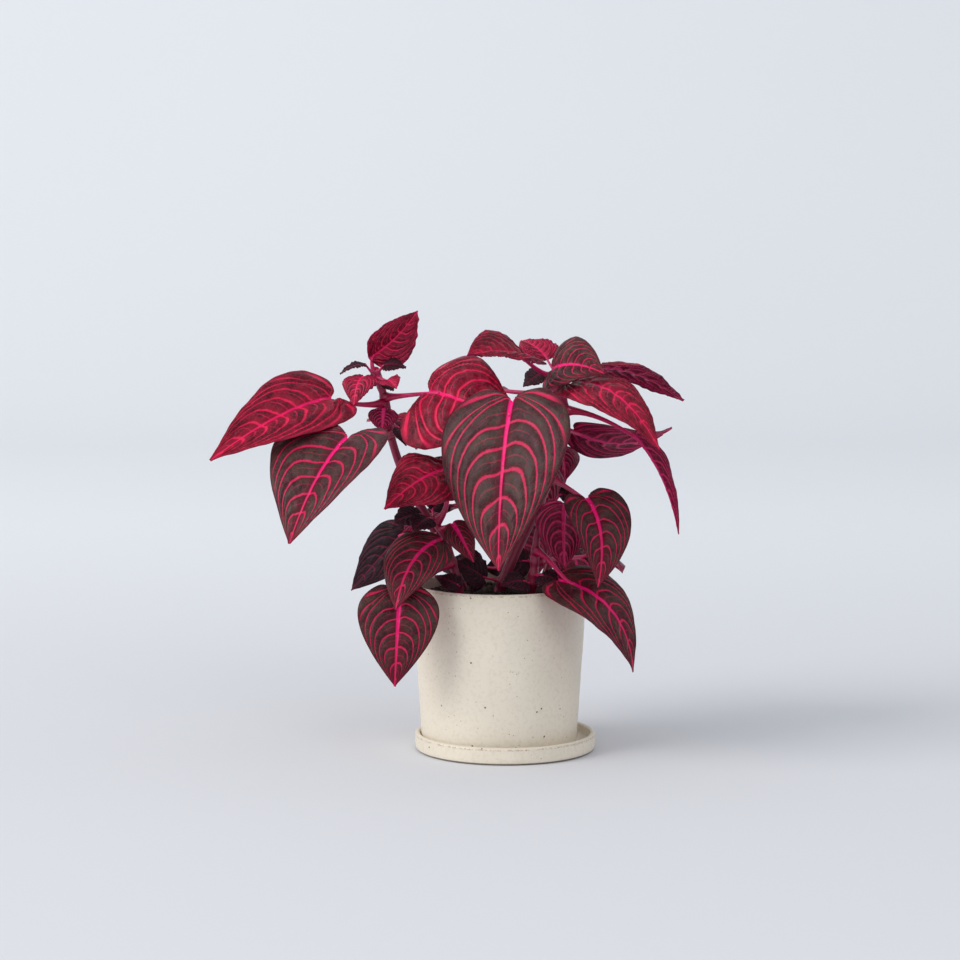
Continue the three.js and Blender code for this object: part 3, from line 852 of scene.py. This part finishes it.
def leaf_finish(name, tones, glow_width, vein_width, rib_width, second, roughness):
    dark, light, glow, vein, rib = tones
    material, tree, shader = new_material(name)
    where = own_coordinates(tree)
    grown = tree.nodes.new("ShaderNodeAttribute")
    grown.attribute_name = "leaf"
    parts = tree.nodes.new("ShaderNodeSeparateXYZ")
    tree.links.new(grown.outputs["Vector"], parts.inputs[0])
    across = sums(tree, "ABSOLUTE", parts.outputs["X"])
    along = parts.outputs["Y"]
    reach = sums(tree, "ABSOLUTE", parts.outputs["Z"])
    counted = tree.nodes.new("ShaderNodeAttribute")
    counted.attribute_name = "vein"
    ragged = sums(tree, "SUBTRACT", grain(tree, where, 700.0, 2.0), 0.5)
    count = sums(tree, "ADD", counted.outputs["Fac"], sums(tree, "MULTIPLY", ragged, RAGGEDNESS))
    from_main = sums(tree, "PINGPONG", count, 0.5)
    from_half = sums(tree, "SUBTRACT", 0.5, from_main)
    widen = sums(tree, "ADD", 1.0, sums(tree, "MULTIPLY", across, OUTWARD_WIDENING))
    # the blade: two tones in soft patches, mottled finely; on mature leaves the lighter tone is partly real leaf
    # colour and partly painted sheen
    patches = step_down(tree, grain(tree, where, 95.0, 4.0, 0.6), 0.4, 0.62)
    base = blend(tree, patches, dark, light)
    fine = grain(tree, where, 1500.0, 2.0, 0.6)
    base = blend(tree, sums(tree, "MULTIPLY", fine, MOTTLE_COVER), base, glow)
    net = cells(tree, where, 330.0, "DISTANCE_TO_EDGE")
    threads = step_down(tree, net.outputs["Distance"], 0.0, 0.09)
    base = blend(tree, sums(tree, "MULTIPLY", threads, second * NET_COVER), base, vein)
    # the glow beside the veins, wider near the midrib
    spread = sums(tree, "MULTIPLY", widen, glow_width)
    shine = step_down(tree, from_main, 0.0, spread)
    cloudy = sums(tree, "ADD", 0.55, sums(tree, "MULTIPLY", patches, 0.45))
    shine = sums(tree, "MULTIPLY", shine, sums(tree, "MULTIPLY", cloudy, GLOW_COVER))
    base = blend(tree, shine, base, glow)
    beside_rib = step_down(tree, reach, rib_width * RIB_GLOW_FADE[0], rib_width * RIB_GLOW_FADE[1])
    base = blend(tree, sums(tree, "MULTIPLY", beside_rib, RIB_GLOW_COVER), base, glow)
    # thin veins halfway between the strong ones, fading outwards
    halfway = step_down(tree, from_half, 0.0, sums(tree, "MULTIPLY", widen, vein_width * 0.7))
    inner = step_down(tree, across, 0.2, 0.6)
    halfway = sums(tree, "MULTIPLY", halfway, sums(tree, "MULTIPLY", inner, second))
    base = blend(tree, halfway, base, vein)
    # the strong side veins
    width = sums(tree, "MULTIPLY", widen, vein_width)
    side_vein = soft_line(tree, from_main, width, VEIN_FADE)
    fade = step_down(tree, across, 0.84, 1.0)
    side_vein = sums(tree, "MULTIPLY", side_vein, sums(tree, "MULTIPLY", fade, VEIN_COVER))
    base = blend(tree, side_vein, base, vein)
    # a thin warm line on the very edge
    edge = step_down(tree, sums(tree, "SUBTRACT", 1.0, across), 0.005, 0.035)
    base = blend(tree, sums(tree, "MULTIPLY", edge, EDGE_COVER), base, glow)
    # the midrib, thinning from stalk to tip
    slim = sums(tree, "SUBTRACT", 1.0, sums(tree, "MULTIPLY", along, RIB_TAPER))
    half_rib = sums(tree, "MULTIPLY", slim, rib_width)
    core = soft_line(tree, reach, half_rib, RIB_FADE)
    base = blend(tree, core, base, blend(tree, along, rib, vein))
    tree.links.new(base, shader.inputs["Base Color"])
    shader.inputs["Roughness"].default_value = roughness
    shader.inputs["Specular IOR Level"].default_value = LEAF_SHEEN
    grooves = sums(tree, "ADD", sums(tree, "MULTIPLY", fine, 0.4), sums(tree, "MULTIPLY", threads, -0.5))
    relief(tree, shader, grooves, 0.35, 0.0003)
    return material


FINISHES = {
    # the mature blade's lighter grey-olive tone is partly painted sheen, the grey of light glancing off a dark
    # leaf, laid in random patches
    "mature": leaf_finish(
        "mature leaf",
        (
            colour(38, 20, 22), colour(50, 46, 38), colour(88, 8, 30),
            colour(198, 24, 76), colour(244, 10, 122),
        ),
        glow_width=0.2, vein_width=0.06, rib_width=1.7 * MM, second=0.3, roughness=0.43,
    ),
    "red": leaf_finish(
        "red leaf",
        (
            colour(28, 8, 16), colour(104, 10, 34), colour(150, 8, 46),
            colour(224, 30, 80), colour(238, 10, 108),
        ),
        glow_width=0.34, vein_width=0.07, rib_width=1.4 * MM, second=0.6, roughness=0.45,
    ),
    "young": leaf_finish(
        "young leaf",
        (
            colour(40, 8, 22), colour(116, 16, 44), colour(154, 14, 56),
            colour(218, 44, 88), colour(226, 22, 98),
        ),
        glow_width=0.38, vein_width=0.09, rib_width=0.9 * MM, second=0.6, roughness=0.46,
    ),
    "tip": leaf_finish(
        "shoot tip leaf",
        (
            colour(17, 11, 16), colour(34, 21, 28), colour(46, 12, 26),
            colour(96, 18, 46), colour(126, 16, 56),
        ),
        glow_width=0.22, vein_width=0.07, rib_width=0.6 * MM, second=0.3, roughness=0.5,
    ),
    "under": leaf_finish(
        "leaf underside",
        (
            colour(72, 12, 32), colour(98, 16, 46), colour(128, 18, 58),
            colour(196, 40, 96), colour(214, 40, 112),
        ),
        glow_width=0.26, vein_width=0.08, rib_width=1.2 * MM, second=0.5, roughness=0.34,
    ),
}
print("leaf finishes:", ", ".join(FINISHES))


# %% Stalk and stem finishes
def stalk_finish(name, root, end, mottling):
    material, tree, shader = new_material(name)
    where = own_coordinates(tree)
    grown = tree.nodes.new("ShaderNodeAttribute")
    grown.attribute_name = "leaf"
    parts = tree.nodes.new("ShaderNodeSeparateXYZ")
    tree.links.new(grown.outputs["Vector"], parts.inputs[0])
    base = blend(tree, parts.outputs["Y"], root, end)
    streaks = grain(tree, where, 350.0, 4.0, 0.65)
    base = blend(tree, sums(tree, "MULTIPLY", streaks, mottling), base, colour(60, 10, 30))
    tree.links.new(base, shader.inputs["Base Color"])
    shader.inputs["Roughness"].default_value = 0.36
    relief(tree, shader, streaks, 0.3, 0.0004)
    return material


stalk_pink = stalk_finish("leaf stalk", colour(176, 18, 76), colour(228, 18, 110), 0.25)
stem_crimson = stalk_finish("stem skin", colour(132, 18, 56), colour(172, 24, 82), 0.5)

# %% [markdown]
# ## Growing the stems
# A stem swells at every node where leaves leave it, and tapers evenly in between.

# %% Stems
STEM_SIDES = 20
for name, (root, end, _) in STEMS.items():
    line = stem_lines[name]
    heights = [row[1] * MM for row in LEAVES.values() if row[0] == name]
    radii = []
    for number, point in enumerate(line):
        swell = sum(math.exp(-(((point.z - height) / (2.6 * MM)) ** 2)) for height in heights)
        radius = (root + (end - root) * number / (len(line) - 1)) * MM
        radii.append(radius * (1 + 0.32 * min(1.0, swell)))
    line = line + [line[-1] + Vector((0, 0, 0.5 * MM))]
    radii.append(radii[-1] * 0.6)
    bm = bmesh.new()
    bm.verts.layers.float_vector.new("leaf")
    tube(bm, line, radii, STEM_SIDES)
    stem = finish_mesh(f"{name}_grown", bm)
    stem.data.materials.append(stem_crimson)
    place(stem, "stem", name)
print("stems grown:", len(STEMS))

# %% [markdown]
# ## Growing the leaves
# Each leaf starts as a flat grid on the square sheet. Its points are moved into the
# blade, sunk along the veins and puffed up between them, and the edge is waved a little.
# Solidify gives the sheet its thickness and a second skin, whose midrib and veins stand
# proud as they do under a real leaf. The stalk is a tube from the node on the stem to
# the midrib. Young leaves are more puckered than old ones.

# %% Leaf helpers
QUILT = {"mature": 0.9, "red": 1.7, "young": 2.2, "tip": 1.2}
WAVES = {"mature": 1.6, "red": 2.2, "young": 3.2, "tip": 3.0}
RUFFLES = {"mature": 0.3, "red": 0.9, "young": 1.8, "tip": 1.4}
STALK_STEPS = 14
FULL_GROWN = 0.02
SLOTS = {"mature": "mature_leaf", "red": "red_leaf", "young": "young_leaf", "tip": "shoot_tip"}


def share_grown(leaf):
    """Small leaves are puckered in proportion to their half width."""
    return min(1.0, leaf["half"] / FULL_GROWN)


def stalk_swelling(step):
    """A stalk is stout where it leaves the stem and slims towards the blade."""
    return 1.35 * math.exp(-9 * step / STALK_STEPS) + 1.05 - 0.4 * step / STALK_STEPS


def blade_relief(leaf, kind, s, t, reach, count, seed):
    """How far the blade stands up from its smooth shape, in metres."""
    size = share_grown(leaf)
    groove = math.exp(-((from_vein(count) / 0.17) ** 2))
    open_blade = min(1.0, abs(reach) / (2.5 * MM)) * (1 - abs(s) ** 6) * min(1.0, (1 - t) * 5)
    quilt = QUILT[kind] * MM * size * (0.55 - groove) * open_blade
    trough = -0.5 * MM * math.exp(-((reach / (1.3 * MM)) ** 2)) * (1 - t)
    slow = noise.noise(Vector((t * 4.6, math.copysign(3, s), seed)))
    quick = noise.noise(Vector((t * 15, math.copysign(5, s), seed)))
    wave = WAVES[kind] * MM * size * abs(s) ** 3 * slow
    ruffle = RUFFLES[kind] * MM * s**4 * quick
    pucker = 0.5 * QUILT[kind] * MM * size * noise.noise(Vector((s * 8, t * 15, seed)))
    return quilt + trough + wave + ruffle + pucker * open_blade


def stalk_line(leaf, stem, height, steps):
    """The line of a leaf stalk: out from the node, then into the midrib."""
    node, along, radius = node_on(stem, height)
    base = midrib(leaf, 0.0)[0]
    outward = base - node
    outward = (outward - along * outward.dot(along)).normalized()
    start = node + outward * radius * 0.8
    elbow = start + outward * (base - start).length * 0.4
    end = midrib(leaf, 0.1)[0]
    line = []
    for step in range(steps + 1):
        u = step / steps
        line.append(
            start * (1 - u) ** 3 + elbow * 3 * u * (1 - u) ** 2 + base * 3 * u**2 * (1 - u) + end * u**3
        )
    return line


# %% Leaves
BIG_LEAF = 15 * MM
BIG_GRID = (56, 76)
SMALL_GRID = (28, 40)
BIG_STALK = 1.5 * MM
SMALL_STALK = 0.9 * MM
STALK_SIDES = 12
UNDER_RIB_HEIGHT = 0.9
UNDER_VEIN_HEIGHT = 0.3
LOBE_CROWDING = 1.4
furthest = 0.0
for seed, (name, row) in enumerate(LEAVES.items()):
    leaf, kind = growth(row), row[-1]
    big = leaf["half"] >= BIG_LEAF
    bm = bmesh.new()
    grown = bm.verts.layers.float_vector.new("leaf")
    counted = bm.verts.layers.float.new("vein")
    columns, rows = BIG_GRID if big else SMALL_GRID
    bmesh.ops.create_grid(bm, x_segments=columns, y_segments=rows, size=1.0)
    for vertex in bm.verts:
        s, t = -vertex.co.x, ((vertex.co.y + 1) / 2) ** LOBE_CROWDING
        count = vein_count(s, t, seed)
        _, reach = blade_point(leaf, s, t, 0.0)
        lift = blade_relief(leaf, kind, s, t, reach, count, seed)
        vertex.co, _ = blade_point(leaf, s, t, BLADE_THICKNESS / 2 + lift)
        vertex[grown] = Vector((s, t, reach))
        vertex[counted] = count
    upper = set(bm.faces)
    upper_points = set(bm.verts)
    bm.normal_update()
    bmesh.ops.solidify(bm, geom=bm.faces[:], thickness=BLADE_THICKNESS)
    bm.normal_update()
    for vertex in bm.verts:
        if vertex not in upper_points:
            rib = math.exp(-((vertex[grown].z / (1.2 * MM)) ** 2)) * (1 - 0.7 * vertex[grown].y)
            vein = UNDER_VEIN_HEIGHT * math.exp(-((from_vein(vertex[counted]) / 0.12) ** 2)) * (1 - abs(vertex[grown].x))
            vertex.co += vertex.normal * MM * share_grown(leaf) * (UNDER_RIB_HEIGHT * rib + vein)
    for face in bm.faces:
        face.material_index = 0 if face in upper else 1
    thick = BIG_STALK if big else SMALL_STALK
    line = stalk_line(leaf, row[0], row[1], STALK_STEPS)
    radii = [thick * stalk_swelling(step) for step in range(STALK_STEPS + 1)]
    for face in tube(bm, line, radii, STALK_SIDES):
        face.material_index = 2
    piece = finish_mesh(f"{name}_grown", bm)
    for finish in (FINISHES[kind], FINISHES["under"], stalk_pink):
        piece.data.materials.append(finish)
    place(piece, SLOTS[kind], name)
    low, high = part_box(name)
    corners = [vertex.co for vertex in piece.data.vertices]
    for axis in range(3):
        reached = [corner[axis] for corner in corners]
        furthest = max(furthest, low[axis] - min(reached), max(reached) - high[axis])
print("leaves grown:", len(LEAVES))
print("the furthest outside its frame box is", round(furthest * 1000, 1), "mm")

# %% [markdown]
# ## Floor, light and camera
# The plant stands on a pale seamless sweep, with painted shade darkening the floor in front
# and painted light brightening the wall behind. A large soft lamp on the left gives the
# faint shadow to the right, and a weaker one in front and a pale sky fill the shadows.
# The camera looks a little down with a long lens, so the pot keeps its straight sides.

# %% The sweep
SWEEP_HALF_WIDTH = 6.0
SWEEP_FRONT = -3.0
SWEEP_BACK = 2.2
SWEEP_BEND = 1.6
SWEEP_TOP = 5.0
sweep_bm = bmesh.new()
outline = [(SWEEP_FRONT, 0.0)]
outline += [(y, z + SWEEP_BEND) for y, z in arc((SWEEP_BACK, 0.0), SWEEP_BEND, -90, 0, 24)]
outline += [(SWEEP_BACK + SWEEP_BEND, SWEEP_TOP)]
chain = [sweep_bm.verts.new((-SWEEP_HALF_WIDTH, y, z)) for y, z in outline]
for here, there in zip(chain, chain[1:]):
    sweep_bm.edges.new((here, there))
strip = bmesh.ops.extrude_edge_only(sweep_bm, edges=sweep_bm.edges[:])["geom"]
side = [item for item in strip if isinstance(item, bmesh.types.BMVert)]
bmesh.ops.translate(sweep_bm, vec=(2 * SWEEP_HALF_WIDTH, 0, 0), verts=side)
sweep = finish_mesh("paper_sweep", sweep_bm)
paper, tree, shader = new_material("pale paper")
where = own_coordinates(tree)
spot = tree.nodes.new("ShaderNodeSeparateXYZ")
tree.links.new(where, spot.inputs[0])
# painted light and shade: the floor in front is painted darker and the wall behind lighter, with broad soft
# clouds of uneven painted light on top
near = step_down(tree, spot.outputs["Y"], 0.0, 1.4)
tone = blend(tree, near, colour(229, 231, 234), colour(211, 212, 215))
cloud = sums(tree, "MULTIPLY", grain(tree, where, 0.9, 2.0), 0.2)
tree.links.new(blend(tree, cloud, tone, colour(216, 219, 226)), shader.inputs["Base Color"])
shader.inputs["Roughness"].default_value = 0.9
shader.inputs["Specular IOR Level"].default_value = 0.2
sweep.data.materials.append(paper)
sweep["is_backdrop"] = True


# %% The lamps
def soft_lamp(name, place_at, aim, size, power, tint):
    lamp = bpy.data.lights.new(name, "AREA")
    lamp.shape = "DISK"
    lamp.size = size
    lamp.energy = power
    lamp.color = tint
    lamp_object = bpy.data.objects.new(name, lamp)
    lamp_object.location = place_at
    lamp_object.rotation_euler = (Vector(aim) - Vector(place_at)).to_track_quat("-Z", "Y").to_euler()
    bpy.context.scene.collection.objects.link(lamp_object)
    return lamp_object


soft_lamp("window_lamp", (-4.0, -2.0, 3.0), (0, 0, 0.15), 3.4, 180.0, (1.0, 0.985, 0.965))
soft_lamp("front_lamp", (1.5, -4.5, 3.2), (0, 0, 0.15), 2.4, 40.0, (1.0, 0.99, 0.98))
world = bpy.data.worlds.new("pale room")
bpy.context.scene.world = world
world.use_nodes = True
world.node_tree.nodes["Background"].inputs["Color"].default_value = (0.89, 0.925, 0.975, 1.0)
world.node_tree.nodes["Background"].inputs["Strength"].default_value = 0.74

# %% The camera
camera_data = bpy.data.cameras.new("studio camera")
camera_data.lens = 101.25
camera_data.sensor_width = 36.0
camera_data.clip_end = 50.0
camera = bpy.data.objects.new("studio camera", camera_data)
camera.location = (-0.016, -1.684, 0.3414)
camera.rotation_euler = (math.radians(90 - 5.8), 0.0, 0.0)
bpy.context.scene.collection.objects.link(camera)
bpy.context.scene.camera = camera
bpy.context.scene.view_settings.view_transform = "Standard"

# %% Measuring the model
low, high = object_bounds()
print("model box", [round(v, 4) for v in (*low, *high)])
